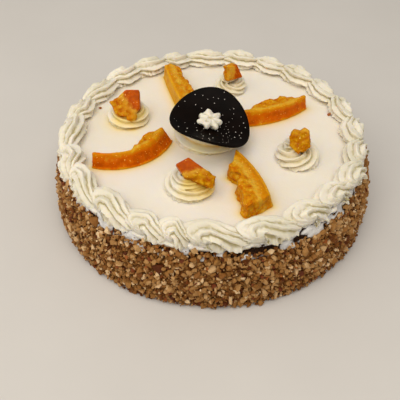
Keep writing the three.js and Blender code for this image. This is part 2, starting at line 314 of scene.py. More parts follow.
def scatter(name, shapes, centres, sizes, facing, tumble, tones, material):
    """Joins one chopped piece at each centre: its short side looks along facing, more or less tumbled."""
    count = len(centres)
    third = unit(facing + tumble * draw.normal(size=(count, 3)))
    first = unit(np.cross(third, draw.normal(size=(count, 3))))
    axes = np.stack([first, np.cross(third, first), third], axis=1)
    choice = draw.integers(len(shapes), size=count)
    points, triangles, point_tones, done = [], [], [], 0
    for index, (corners, faces) in enumerate(shapes):
        chosen = np.flatnonzero(choice == index)
        placed = np.einsum("pk,nk,nkj->npj", corners, sizes[chosen], axes[chosen]) + centres[chosen][:, None]
        placed[..., 2] += np.maximum(0.0, -placed[..., 2].min(axis=1))[:, None]
        steps = done + len(corners) * np.arange(len(chosen))
        points.append(placed.reshape(-1, 3))
        triangles.append((faces[None] + steps[:, None, None]).reshape(-1, 3))
        point_tones.append(np.repeat(tones[chosen], len(corners)))
        done += placed.shape[0] * placed.shape[1]
    mesh = bpy.data.meshes.new(name)
    mesh.from_pydata((np.concatenate(points) * MM).tolist(), [], np.concatenate(triangles).tolist())
    piece = set_on_cake(name, mesh, material, "chopped_almond")
    mark(piece, "tone", np.concatenate(point_tones))
    return piece


def coat_top(turn):
    """The height at which the almonds stop: uneven all round, with a few dips where more cream shows."""
    way = Vector((cos(turn), sin(turn), 0.3)) * SPONGE_WIDEST_RADIUS / COAT_TOP_GRAIN
    top = COAT_TOP + COAT_TOP_STRAY * noise.fractal(way, 1.0, 2.0, 2)
    for azimuth, spread, depth in COAT_DIPS:
        off = (turn - radians(azimuth) + pi) % (2 * pi) - pi
        top -= depth * exp(-((off / radians(spread)) ** 2))
    return top


def places_on_side(spacing, depth_low, depth_high, share=1.0):
    """Jittered places all round the side, with the way out at each."""
    rows = int(round((COAT_TOP + COAT_TOP_STRAY) / spacing))
    columns = int(round(2 * pi * SPONGE_WIDEST_RADIUS / spacing))
    row, column = np.divmod(np.arange(rows * columns), columns)
    count = len(row)
    turn = (column + 0.5 * (row % 2) + draw.uniform(-0.45, 0.45, count)) * 2 * pi / columns
    height = COAT_FOOT + (row + 0.4 + draw.uniform(-0.45, 0.45, count)) * spacing
    depth = draw.uniform(depth_low, depth_high, count)
    kept = np.array([h < coat_top(t) for h, t in zip(height, turn)]) & (draw.uniform(size=count) < share)
    turn, height, depth = turn[kept], np.maximum(height[kept], COAT_FOOT), depth[kept]
    out = np.stack([np.cos(turn), np.sin(turn), np.zeros_like(turn)], axis=1)
    centres = out * (side_radius(height) + depth)[:, None] + height[:, None] * np.array([0.0, 0.0, 1.0])
    return centres, out


def uneven(count, across, spread):
    """Sizes of chopped pieces: three sides in millimetres, each a little off."""
    scale = np.exp(spread * draw.normal(size=(count, 1)))
    return np.array(across) * scale * draw.uniform(0.8, 1.2, size=(count, 3))


def toasted_and_foot_shaded(centres, middle, spread):
    """A tone for each piece, from 0, dark, to 1, pale; those near the foot are painted darker and browner, as
    painted shade.
    """
    foot = np.clip(1 - centres[:, 2] / FOOT_SHADE_HEIGHT, 0, 1)
    return np.clip(draw.normal(middle, spread, len(centres)) - FOOT_SHADE * foot, 0, 1)


def almond_material(name, stops):
    material, start, here = new_material(name)
    tone = start.attribute("tone")
    fleck = here.grain(0.9)
    shade = tone + 0.22 * (fleck - 0.5)
    finish_material(
        start,
        shade.node("ShaderNodeValToRGB", {"stops": stops}, {"Fac": shade}),
        0.5 + 0.2 * fleck,
        here.grain(0.5),
        0.15,
        {
            "Subsurface Weight": 0.12,
            "Subsurface Radius": (1.0, 0.6, 0.3),
            "Subsurface Scale": 1.2 * MM,
            "Specular IOR Level": 0.15,
        },
    )
    return material


NIB_STOPS = [
    (0.0, paint(86, 38, 8)),
    (0.2, paint(122, 72, 24)),
    (0.5, paint(158, 110, 55)),
    (0.8, paint(187, 144, 91)),
    (1.0, paint(226, 192, 146)),
]
SKIN_STOPS = [
    (0.0, paint(62, 26, 12)),
    (0.5, paint(118, 56, 24)),
    (1.0, paint(168, 100, 46)),
]
blanched = almond_material("blanched_almond", NIB_STOPS)
skinned = almond_material("almond_skin", SKIN_STOPS)

nib_shapes = [chopped_shape(NIB_CORNERS) for _ in range(SHAPES_OF_A_KIND)]
centres, out = places_on_side(spacing=2.3, depth_low=-0.8, depth_high=0.5)
# The inner nibs sit deepest, in the gaps between the outer ones, and are toned darker: painted shade there.
tones = toasted_and_foot_shaded(centres, middle=0.36, spread=0.22)
sizes = uneven(len(centres), across=(3.2, 2.8, 2.4), spread=0.22)
scatter("almond_nibs_inner", nib_shapes, centres, sizes, out, 0.9, tones, blanched)

centres, out = places_on_side(spacing=3.3, depth_low=1.2, depth_high=2.6, share=0.75)
tones = toasted_and_foot_shaded(centres, middle=0.54, spread=0.24)
sizes = uneven(len(centres), across=(3.4, 2.9, 2.5), spread=0.3)
scatter("almond_nibs_outer", nib_shapes, centres, sizes, out, 1.6, tones, blanched)

centres, out = places_on_side(spacing=7.0, depth_low=1.8, depth_high=3.0, share=0.5)
tones = toasted_and_foot_shaded(centres, middle=0.7, spread=0.2)
sliver_shapes = [chopped_shape(SLIVER_CORNERS) for _ in range(SHAPES_OF_A_KIND)]
sizes = uneven(len(centres), across=(5.2, 3.0, 2.1), spread=0.15)
scatter("almond_slivers", sliver_shapes, centres, sizes, out, 0.9, tones, blanched)

centres, out = places_on_side(spacing=6.0, depth_low=1.2, depth_high=2.8, share=0.5)
centres = np.concatenate([centres, STRAY_CRUMBS])
out = np.concatenate([out, [(0.0, 0.0, 1.0)] * len(STRAY_CRUMBS)])
tones = toasted_and_foot_shaded(centres, middle=0.5, spread=0.25)
tones[-len(STRAY_CRUMBS):] = STRAY_TONE
sizes = uneven(len(centres), across=(3.4, 2.6, 1.1), spread=0.2)
scatter("almond_skins", sliver_shapes, centres, sizes, out, 0.8, tones, skinned)

centres, out = places_on_side(spacing=2.9, depth_low=1.0, depth_high=3.2, share=0.7)
tones = toasted_and_foot_shaded(centres, middle=0.55, spread=0.28)
crumb_shapes = [chopped_shape(CRUMB_CORNERS) for _ in range(SHAPES_OF_A_KIND)]
sizes = uneven(len(centres), across=(1.8, 1.5, 1.3), spread=0.3)
scatter("almond_crumbs", crumb_shapes, centres, sizes, out, 2.0, tones, blanched)


# The top is a level layer of cream, drawn smooth with a palette knife. Syrup from the candied orange
# has soaked into it in a yellow rim round each slice and at the foot of the rosette that drips.
SLICE_NODES = ["orange_slice_left", "orange_slice_right", "orange_slice_front", "orange_slice_back"]
TOP_STEPS = 320
TOP_RINGS = 80
TOP_EDGE_ROUND = 2.4
TOP_EDGE_STEPS = 8
TOP_UNDERCUT = 0.8
TOP_WAVE = 0.16
TOP_WAVE_GRAIN = 30.0
TOP_BITE = 2.6
TOP_BITE_GRAIN = 9.0
SYRUP_REACH = 2.6
DRIP_REACH = 3.6
DRIP_DROP = 0.05


def box_of(node):
    """A node's lowest and highest corners, in millimetres."""
    return [Vector(corner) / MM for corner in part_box(node)]


def surface_of(nodes, drop=1.0):
    """The solids of some nodes, in millimetres, to measure distances from; drop flattens them first."""
    joined = bmesh.new()
    for node in nodes:
        joined.from_mesh(bpy.data.objects[node].data)
    bmesh.ops.scale(joined, vec=(1 / MM, 1 / MM, drop / MM), verts=joined.verts)
    tree = BVHTree.FromBMesh(joined)
    joined.free()
    return tree


def syrup_at(tree, point, reach):
    """How strong the syrup is at a point: 1 against the fruit, fading over the reach."""
    return exp(-tree.find_nearest(point)[3] / reach)


def cream_material(name, plain, groove_shade_colour, glow):
    """Whipped cream that light enters as deep as glow: painted shade in its hollows, darker and warmer, and
    yellow where syrup soaks in.
    """
    material, start, here = new_material(name)
    cloud = here.grain(22.0)
    hollow = start.attribute("hollow")
    syrup = start.attribute("syrup")
    # Grooves blend towards the groove shade colour: painted shade.
    body = hollow.blend(cloud.step(0.3, 0.7).blend(plain, paint(238, 229, 211)), groove_shade_colour)
    finish_material(
        start,
        syrup.blend(body, paint(240, 208, 84)),
        0.5 - 0.2 * syrup + 0.1 * cloud,
        here.grain(1.8) + here.grain(9.0),
        0.12,
        {
            "Subsurface Weight": 0.5,
            "Subsurface Radius": (1.0, 0.85, 0.5),
            "Subsurface Scale": glow * MM,
            "Specular IOR Level": 0.3,
        },
    )
    return material


low, high = box_of("cream_top")
top_radius = 0.5 * (high.x - low.x)
corner = [radians(angle) for angle in np.linspace(90, 0, TOP_EDGE_STEPS)]
shoulder = [
    (top_radius - TOP_EDGE_ROUND * (1 - cos(a)), high.z - TOP_EDGE_ROUND * (1 - sin(a))) for a in corner
]
flat = [(radius, high.z) for radius in np.linspace(0, top_radius - TOP_EDGE_ROUND, TOP_RINGS)]
top = spun([*flat, *shoulder[1:], (top_radius - TOP_UNDERCUT, low.z), (0.0, low.z)], TOP_STEPS)
fruit = surface_of(SLICE_NODES)
drips = surface_of(["orange_chunk_left_back"], DRIP_DROP)
syrup = []
for point in top.verts:
    reach = hypot(point.co.x, point.co.y)
    bite = ease(-0.1, 0.25, noise.fractal(point.co / TOP_BITE_GRAIN, 1.0, 2.0, 2))
    if reach > top_radius - TOP_EDGE_ROUND:
        point.co.xy *= 1 - TOP_BITE * bite / reach
    elif point.co.z > low.z + 1:
        point.co.z += TOP_WAVE * noise.noise(point.co / TOP_WAVE_GRAIN)
    round_fruit = syrup_at(fruit, point.co, SYRUP_REACH)
    dripped = syrup_at(drips, Vector((*point.co.xy, DRIP_DROP * point.co.z)), DRIP_REACH)
    syrup.append(max(round_fruit, dripped))
top_cream = cream_material("smooth_cream", paint(239, 231, 218), paint(222, 212, 192), glow=2.5)
cream_top = put_in_frame("cream_top_layer", rounded(top), top_cream, "smooth_cream", "cream_top")
mark(cream_top, "syrup", syrup)
mark(cream_top, "hollow", np.zeros(len(syrup)))


# The border is a ring of shells of firm cream, piped from a star nozzle and laid round the rim one after
# the other: each has a full ridged head and a tail that the next head covers, its lower edge frayed.
DECK = box_of("piped_border")[0].z
SHELL_START = -170
SHELL_SPANS = [12, 18, 17, 13, 9, 18, 19, 15, 14, 14, 14, 15, 16, 15, 15, 14, 15, 17, 11, 14, 14, 17, 13, 21]
SHELL_RADIUS = 105.8
SHELL_OVERLAP = 1.3
SHELL_WIDTH = 15.5
SHELL_HEIGHT = 12.4
SHELL_SINK = 0.6
SHELL_HEAD = 17.0
SHELL_HEAD_SHARE = 0.55
SHELL_HEAD_TILT = radians(85)
SHELL_HEAD_AXIS = Vector((0.3, 0.0, 0.95)).normalized()
SHELL_SHEAR = 0.12
SHELL_CROWDING = 0.35
SHELL_VARIATION = 0.15
SHELL_TAIL_OUT = 2.5
SHELL_TAIL_FULLNESS = 0.55
SHELL_TAIL_HEIGHT = 0.2
SHELL_SWEEP = 1.3
SHELL_RUFFLE = 0.15
SHELL_RUFFLE_PITCH = 6.0
SHELL_FINS = 8
SHELL_FIN_DEPTH = 0.42
SHELL_FOOT = radians(112)
SHELL_FOOT_SPREAD = 0.4
SHELL_FRILL = 3.0
SHELL_FRILL_PITCH = 1.7
SHELL_FRILL_MIDDLE = 0.4
SHELL_FRILL_RANGE = 1.3
SHELL_FRILL_INSIDE = 0.5
SHELL_DROOP = 4.5
SHELL_DROOP_FROM = 107.0
SHELL_DROOP_TO = 115.0
SHELL_DROOP_HEIGHT = 7.0
SHELL_SHARP = radians(60)
SHELL_SEED = 7
SHELL_AROUND = 80
SHELL_ALONG = 52
CREAM_SINK = 0.3
CREAM_LUMP = 0.4
CREAM_LUMP_GRAIN = 5.0
CREAM_FRAY = 0.25
CREAM_FRAY_GRAIN = 1.4
LUMP_SEED = 5

shell_draw = np.random.default_rng(SHELL_SEED)
# One seed places the lumps in the cream and the fruit, so that they fall alike in every run.
noise.seed_set(LUMP_SEED)


def skin(around_steps, along_steps, place):
    """A closed skin: each point of a ball goes where place(along, around) puts it."""
    shape = bmesh.new()
    bmesh.ops.create_uvsphere(shape, u_segments=around_steps, v_segments=along_steps, radius=1.0)
    for point in shape.verts:
        along = acos(max(-1.0, min(1.0, point.co.z))) / pi
        around = atan2(point.co.y, point.co.x)
        point.co = place(along, around)
    if shape.calc_volume(signed=True) < 0:
        bmesh.ops.reverse_faces(shape, faces=shape.faces)
    return shape


def finned(around, fins, depth):
    """The outline of stiff cream from a star nozzle: thin fins with wide hollows between."""
    return 1 + depth * (0.5 * (1 - abs(sin(0.5 * fins * around))) + 0.25 * cos(fins * around) - 0.2)


def shell(turn, span, radius, size, phase):
    """One shell: its fins arch over a core low on the outside, and sweep out and down into the tail."""
    width = SHELL_WIDTH * size
    height = SHELL_HEIGHT * size
    length = SHELL_OVERLAP * radius * span
    head_length = min(SHELL_HEAD, SHELL_HEAD_SHARE * length)
    depth = SHELL_FIN_DEPTH * (1 + SHELL_VARIATION * sin(3 * phase))
    tilt = SHELL_HEAD_TILT * (1 + SHELL_VARIATION * sin(5 * phase))

    def place(along, around):
        head = max(0.0, 1 - along / SHELL_HEAD_SHARE)
        tail = max(0.0, (along - SHELL_HEAD_SHARE) / (1 - SHELL_HEAD_SHARE))
        angle = around - SHELL_CROWDING * sin(around)
        wave = Vector((length * along / SHELL_RUFFLE_PITCH, 2 * sin(angle), phase))
        ruffle = SHELL_RUFFLE * noise.noise(wave)
        fin = finned(angle - SHELL_SWEEP * tail + ruffle + phase, SHELL_FINS, depth)
        swell = cos(0.5 * pi * head) * max(0.0, cos(0.5 * pi * tail)) ** SHELL_TAIL_FULLNESS
        way = Vector((swell * fin * sin(angle), -sin(0.5 * pi * head), swell * fin * cos(angle)))
        way = Matrix.Rotation(tilt * head, 3, SHELL_HEAD_AXIS) @ way
        travel = head_length * (1 + way.y) + (length - head_length) * tail + SHELL_SHEAR * 0.5 * width * way.x
        foot = swell * exp(-(((atan2(abs(way.x), way.z) - SHELL_FOOT) / SHELL_FOOT_SPREAD) ** 2))
        side = np.sign(way.x)
        ripple = noise.fractal(Vector((travel, 2 * side, 5 * phase)) / SHELL_FRILL_PITCH, 1.0, 2.0, 2)
        frill = SHELL_FRILL * foot * max(0.0, SHELL_FRILL_MIDDLE + SHELL_FRILL_RANGE * ripple)
        frill *= 1.0 if way.x > 0 else SHELL_FRILL_INSIDE
        out = radius + SHELL_TAIL_OUT * tail + 0.5 * width * way.x + frill * side
        lift = height * (0.5 - (0.5 - SHELL_TAIL_HEIGHT) * tail) - SHELL_SINK
        rise = max(0.0, lift + 0.5 * height * way.z)
        hanging = ease(SHELL_DROOP_FROM, SHELL_DROOP_TO, out)
        droop = SHELL_DROOP * hanging * ease(SHELL_DROOP_HEIGHT, 0.0, rise)
        bearing = turn + travel / radius
        spot = Vector((out * cos(bearing), out * sin(bearing), DECK - CREAM_SINK + rise - droop))
        lump = CREAM_LUMP * noise.noise_vector(spot / CREAM_LUMP_GRAIN)
        return spot + lump + CREAM_FRAY * noise.noise_vector(spot / CREAM_FRAY_GRAIN)

    return skin(SHELL_AROUND, SHELL_ALONG, place)


def as_object(name, shape):
    """A shape, in millimetres, as a scratch object for a modifier to work on."""
    mesh = bpy.data.meshes.new(name)
    shape.to_mesh(mesh)
    shape.free()
    return bpy.data.objects.new(name, mesh)


def worked(scratch):
    """The shape that a scratch object's modifiers give."""
    bpy.context.view_layer.update()
    shape = bmesh.new()
    shape.from_object(scratch, bpy.context.evaluated_depsgraph_get())
    mesh = scratch.data
    bpy.data.objects.remove(scratch)
    bpy.data.meshes.remove(mesh)
    return shape


def joined_by_union(shapes):
    """One closed skin round shapes that run into each other."""
    others = bpy.data.collections.new("to_join")
    bpy.context.scene.collection.children.link(others)
    first, *rest = [as_object(f"shell_{index}", shape) for index, shape in enumerate(shapes)]
    for item in rest:
        others.objects.link(item)
    bpy.context.scene.collection.objects.link(first)
    union = first.modifiers.new("join", "BOOLEAN")
    union.operation = "UNION"
    union.operand_type = "COLLECTION"
    union.collection = others
    union.solver = "MANIFOLD"
    shape = worked(first)
    for item in rest:
        mesh = item.data
        bpy.data.objects.remove(item)
        bpy.data.meshes.remove(mesh)
    bpy.data.collections.remove(others)
    return shape


def mark_groove_shade(piece, passes, depth):
    """Marks how deep each point lies in a groove, for the painted shade there: 1 where the cream about it
    stands depth higher.
    """
    mesh = piece.data
    count = len(mesh.vertices)
    points = np.empty(3 * count, np.float32)
    normals = np.empty(3 * count, np.float32)
    ends = np.empty(2 * len(mesh.edges), np.int32)
    mesh.vertices.foreach_get("co", points)
    mesh.vertices.foreach_get("normal", normals)
    mesh.edges.foreach_get("vertices", ends)
    here, there = np.concatenate([ends.reshape(-1, 2), ends.reshape(-1, 2)[:, ::-1]]).T
    neighbours = np.maximum(np.bincount(here, minlength=count), 1)
    points = points.reshape(-1, 3)
    eased = points
    for _ in range(passes):
        sums = [np.bincount(here, weights=eased[there, axis], minlength=count) for axis in range(3)]
        eased = np.stack(sums, axis=1) / neighbours[:, None]
    lift = ((eased - points) * normals.reshape(-1, 3)).sum(axis=1)
    mark(piece, "hollow", np.clip(lift / (depth * MM), 0, 1))


shells = []
for turn, span in zip(np.cumsum([SHELL_START, *SHELL_SPANS]), SHELL_SPANS):
    radius = SHELL_RADIUS + shell_draw.uniform(-1, 1)
    size = 1 + shell_draw.uniform(-0.06, 0.06)
    shells.append(shell(radians(turn), radians(span), radius, size, shell_draw.uniform(0, 2 * pi)))
# The piped cream is painted darker and yellower than the smooth cream of the top, and darker still in its
# grooves: painted shade.
piped_cream = cream_material("piped_cream", paint(226, 218, 196), paint(186, 172, 124), glow=2.5)
border = put_in_frame(
    "shell_border", rounded(joined_by_union(shells)), piped_cream, "piped_cream", "piped_border"
)
border.data.set_sharp_from_angle(angle=SHELL_SHARP)
mark_groove_shade(border, passes=10, depth=0.5)
mark(border, "syrup", np.zeros(len(border.data.vertices)))


# Each rosette is one rope of cream from the star nozzle, wound up in a cone that ends in a soft tip. A
# chunk of candied orange is pressed into it, and its syrup runs down the cream below.
ROSETTES = {
    "left_back": {"height": 18.5, "turns": 1.9, "rope": 0.48, "start": 80, "twist": 3.0, "taper": 0.5},
    "back": {"height": 17.5, "turns": 1.9, "rope": 0.48, "start": 60, "twist": 9.0, "taper": 0.5},
    "right": {"height": 19.0, "turns": 1.7, "rope": 0.52, "start": 75, "twist": -9.0, "taper": 0.45},
    "front": {"height": 19.5, "turns": 2.6, "rope": 0.4, "start": 70, "twist": 3.0, "taper": 0.5},
}
ROPE_FINS = 8
ROPE_FIN_DEPTH = 0.5
ROPE_FOOT_FRILL = 2.0
ROPE_FOOT_HEIGHT = 0.4
ROPE_RIPPLES = 9
ROPE_LEVEL = 0.7
ROPE_FLATTEN = 0.85
ROPE_BED = 0.45
ROPE_CONE = 0.8
ROPE_CLIMB = 0.9
ROPE_TIP = 0.3
ROPE_AROUND = 84
ROPE_ALONG = 240
ROPE_START = 0.03
ROPE_END = 0.12
ROSETTE_VOXEL = 0.42
CHUNK_SYRUP = {"left_back": 0.9, "back": 0.25, "right": 0.25, "front": 1.0}
CHUNK_SYRUP_REACH = 4.5
SYRUP_WAYS = {
    "left_back": (0.4, -0.9, 0.0),
    "back": (0.0, -1.0, 0.0),
    "right": (0.0, -1.0, 0.0),
    "front": (0.75, -0.66, 0.0),
}
CHUNK_SYRUP_DROP = 0.3
SYRUP_FROM = -2.0
SYRUP_TO = 5.0


def end_round(along, start, end):
    """1 along the rope, rounding off to 0 at both of its ends."""
    share = min(1.0, along / start, (1 - along) / end)
    return (1 - (1 - max(0.0, share)) ** 2) ** 0.5


def wound_rope(centre, radius, height, turns, rope, start, twist, taper):
    """A rope of cream wound from the deck up to a tip over its centre."""
    thick = rope * radius

    def place(along, around):
        turn = radians(start) + 2 * pi * turns * along
        bulk = thick * (1 - taper * along) * end_round(along, ROPE_START, ROPE_END)
        bulk *= finned(around + twist * along, ROPE_FINS, ROPE_FIN_DEPTH)
        climb = max(0.0, along - ROPE_LEVEL / turns) / (1 - ROPE_LEVEL / turns)
        reach = (radius - thick) * (1 - climb) ** ROPE_CONE
        lift = ROPE_BED * thick + (height - (ROPE_TIP + ROPE_BED) * thick) * climb ** ROPE_CLIMB
        out = reach + bulk * cos(around)
        rise = lift + ROPE_FLATTEN * bulk * sin(around)
        wave = Vector((ROPE_RIPPLES * cos(turn), ROPE_RIPPLES * sin(turn), turns))
        ripple = noise.fractal(wave, 1.0, 2.0, 2)
        frill = ROPE_FOOT_FRILL * ease(ROPE_FOOT_HEIGHT * thick, 0.0, rise) * ripple
        out += frill * ease(0.5, 1.0, cos(around))
        level = DECK - CREAM_SINK + max(0.0, rise)
        return Vector((centre.x + out * cos(turn), centre.y + out * sin(turn), level))

    return skin(ROPE_AROUND, ROPE_ALONG, place)


def run_together(shape, voxel):
    """One closed skin round the turns of a rope, as soft cream runs together where it touches."""
    scratch = as_object("turns", shape)
    bpy.context.scene.collection.objects.link(scratch)
    fuse = scratch.modifiers.new("fuse", "REMESH")
    fuse.mode = "VOXEL"
    fuse.voxel_size = voxel
    return worked(scratch)


def softened(shape, passes):
    """Eases the small bumps of a shape, a few times over."""
    for _ in range(passes):
        bmesh.ops.smooth_vert(
            shape, verts=shape.verts, factor=0.5, use_axis_x=True, use_axis_y=True, use_axis_z=True
        )
    return shape


def lumpy(shape, lump, grain):
    """Moves the points a little, unevenly, over lumps of that grain."""
    for point in shape.verts:
        point.co += lump * noise.noise_vector(point.co / grain)
    return shape


def mark_syrup(piece, tree, centre, way, strength):
    """Marks where syrup from the fruit has run down the cream below it, to one side of the middle."""
    syrup = []
    for vertex in piece.data.vertices:
        point = vertex.co / MM
        to_side = ease(SYRUP_FROM, SYRUP_TO, (point - centre).dot(way))
        flattened = Vector((*point.xy, CHUNK_SYRUP_DROP * point.z))
        syrup.append(strength * to_side * syrup_at(tree, flattened, CHUNK_SYRUP_REACH))
    mark(piece, "syrup", syrup)


for place_name, wound in ROSETTES.items():
    low, high = box_of(f"rosette_{place_name}")
    centre = 0.5 * (low + high)
    radius = 0.25 * (high.x - low.x + high.y - low.y)
    rope = softened(run_together(wound_rope(centre, radius, **wound), ROSETTE_VOXEL), 1)
    rosette = put_in_frame(
        f"rosette_swirl_{place_name}",
        rounded(lumpy(rope, CREAM_LUMP, CREAM_LUMP_GRAIN)),
        piped_cream,
        "piped_cream",
        f"rosette_{place_name}",
    )
    mark_groove_shade(rosette, passes=12, depth=0.4)
    chunk = surface_of([f"orange_chunk_{place_name}"], CHUNK_SYRUP_DROP)
    mark_syrup(rosette, chunk, centre, Vector(SYRUP_WAYS[place_name]), CHUNK_SYRUP[place_name])


# The mound in the middle is a broader swirl of softer cream, piped in about two turns, that holds up
# the chocolate disc.
MOUND_FULLNESS = 1.02
MOUND_OFFSET = Vector((2.0, -1.0, 0.0))
MOUND_VOXEL = 0.55
MOUND = {"height": 15.8, "turns": 2.2, "rope": 0.44, "start": 60, "twist": 3.0, "taper": 0.3}

low, high = box_of("centre_mound")
centre = 0.5 * (low + high) + MOUND_OFFSET
radius = 0.25 * (high.x - low.x + high.y - low.y)
rope = softened(run_together(wound_rope(centre, MOUND_FULLNESS * radius, **MOUND), MOUND_VOXEL), 2)
# The mound's cream is painted brighter and yellower than the piped cream: partly painted warm light under the
# disc, partly its softer cream. Its grooves get painted shade.
soft_cream = cream_material("soft_cream", paint(255, 238, 184), paint(232, 200, 112), glow=4.0)
mound = put_in_frame("centre_swirl", rounded(rope), soft_cream, "piped_cream", "centre_mound")
mark_groove_shade(mound, passes=14, depth=0.5)
mark(mound, "syrup", np.zeros(len(mound.data.vertices)))


# Each slice is a piece cut from a half round of candied orange: a band of rind outside, pale pith next to
# it, and torn amber pulp inside, all soaked in syrup and faintly glossy, with pale specks that are painted
# highlights. It lies flat on the cream.
SLICE_THICKNESS = 11.5
SLICES = {
    "left": {
        "centre": (-72.8, 6.3),
        "radius": 43.7,
        "arc": (-108, -14),
        "slant": 0,
        "lean": (2.5, 7.0),
        "pith": 2.5,
        "amber": 0.25,
        "widths": [5, 5.5, 6.5, 6.5, 12, 15.5, 14.5, 9],
    },
    "right": {
        "centre": (19.1, 90.3),
        "radius": 76.5,
        "arc": (-88, -43.5),
        "slant": 0,
        "lean": (3.5, 1.5),
        "pith": 3.0,
        "amber": 0.35,
        "widths": [7, 7.5, 13, 16, 14.5, 14.5, 7, 4.5],
    },
    "front": {
        "centre": (-71.7, -94.6),
        "radius": 112.5,
        "arc": (36.8, 9.8),
        "slant": -5,
        "lean": (2.6, 2.6),
        "pith": 9.0,
        "amber": 0.8,
        "widths": [4, 9, 18, 17, 14, 19, 21, 20, 19.5, 22, 20],
    },
    "back": {
        "centre": (384.9, 175.1),
        "radius": 434.2,
        "arc": (-167.9, -160.5),
        "slant": 0,
        "lean": (1, 1),
        "pith": 7.5,
        "amber": 0.9,
        "widths": [8.5, 13.5, 13.8, 12.3, 12.8, 14.8, 15.2, 15.5, 16, 15, 11],
    },
}
SLICE_BACK_SLOPE = 1.0
SLICE_ALONG = 60
SLICE_ACROSS = 12
SLICE_VOXEL = 0.55
PULP_LUMP = 1.1
PULP_GRAIN = 4.0
PULP_FRAY = 0.3
PULP_FRAY_GRAIN = 1.5
FRUIT_SINK = 0.2
RIND_DEPTH = 1.3
RIND_LUMP = 0.15
RIND_EDGE_AMBER = 0.65
LOOSE_DEPTH = 4.2
SYRUP_SWELL = 0.4
SYRUP_FOOT = 0.7
SYRUP_FOOT_HEIGHT = 1.5


def slice_shape(centre, radius, arc, slant, lean, widths, **_):
    """A slab between the arc of its rind, which leans in, and the torn inner edge."""
    shape = bmesh.new()
    bmesh.ops.create_grid(shape, x_segments=SLICE_ALONG, y_segments=SLICE_ACROSS, size=0.5)
    wall = bmesh.ops.extrude_face_region(shape, geom=shape.faces)
    upper = {item for item in wall["geom"] if isinstance(item, bmesh.types.BMVert)}
    for point in shape.verts:
        along, across = point.co.x + 0.5, point.co.y + 0.5
        turn = radians(arc[0] + (arc[1] - arc[0] + slant * across) * along)
        width = np.interp(along, np.linspace(0, 1, len(widths)), widths)
        reach = radius - width * across
        if point in upper:
            reach += SLICE_BACK_SLOPE * across - (lean[0] + (lean[1] - lean[0]) * along) * (1 - across)
        level = DECK - FRUIT_SINK + (SLICE_THICKNESS if point in upper else 0.0)
        point.co = Vector((centre[0] + reach * cos(turn), centre[1] + reach * sin(turn), level))
    bmesh.ops.recalc_face_normals(shape, faces=shape.faces)
    return shape


RIND_STOPS = [
    (0.0, paint(174, 72, 0)),
    (0.4, paint(214, 100, 0)),
    (0.8, paint(214, 142, 10)),
    (1.0, paint(222, 164, 34)),
]
PULP_STOPS = [
    (0.28, paint(184, 88, 0)),
    (0.46, paint(202, 124, 4)),
    (0.62, paint(212, 148, 20)),
    (0.8, paint(226, 180, 60)),
]


def candied_material(name, pulp_stops):
    """Rind outside, a band of paler pith as wide as the piece's own, then pulp in soft lumps of syrup, dotted
    with painted highlights.
    """
    material, start, here = new_material(name)
    cloud = here.grain(5.0)
    inward = start.attribute("inward") + 3.0 * (cloud - 0.5)
    pulpy = inward - start.attribute("pith")
    lump = here.grain(3.2, 2.0)
    pulp = lump.node("ShaderNodeValToRGB", {"stops": pulp_stops}, {"Fac": lump})
    pale = pulpy.step(-5.5, -1.5) * cloud.step(0.3, 0.6)
    pith = pale.blend(paint(206, 130, 4), paint(218, 168, 50))
    amber = start.attribute("amber") + (cloud - 0.5)
    rind = amber.node("ShaderNodeValToRGB", {"stops": RIND_STOPS}, {"Fac": amber})
    inner = pulpy.step(-0.5, 1.5).blend(pith, pulp)
    # Pale specks are painted highlights, standing for small glints on the syrup.
    painted_glints = here.grain(1.3, 1.0).step(0.69, 0.74)
    fruit = inward.step(0.4, 2.0).blend(rind, inner)
    finish_material(
        start,
        (0.7 * painted_glints).blend(fruit, paint(255, 204, 96)),
        0.3 + 0.2 * here.grain(2.0),
        here.grain(1.6) + inward.step(1.0, 3.0) * lump,
        0.5,
        {
            "Subsurface Weight": 0.4,
            "Subsurface Radius": (1.0, 0.4, 0.03),
            "Subsurface Scale": 3.0 * MM,
            "Specular IOR Level": 0.03,
            "Coat Weight": 0.04,
            "Coat Roughness": 0.12,
        },
    )
    return material


def torn(shape, inward_of):
    """Swells fruit with syrup and roughens it: pulp is torn in lumps, and rind stays nearly smooth."""
    shape.normal_update()
    for point in shape.verts:
        foot = SYRUP_FOOT * ease(SYRUP_FOOT_HEIGHT, 0.0, point.co.z - DECK)
        point.co += SYRUP_SWELL * point.normal
        point.co.xy += foot * point.normal.xy
    for point in shape.verts:
        loose = ease(RIND_DEPTH, LOOSE_DEPTH, inward_of(point.co))
        lump = (RIND_LUMP + loose * PULP_LUMP) * noise.noise_vector(point.co / PULP_GRAIN)
        point.co += lump + PULP_FRAY * loose * noise.noise_vector(point.co / PULP_FRAY_GRAIN)
        point.co.z = max(point.co.z, DECK - FRUIT_SINK)
    return shape


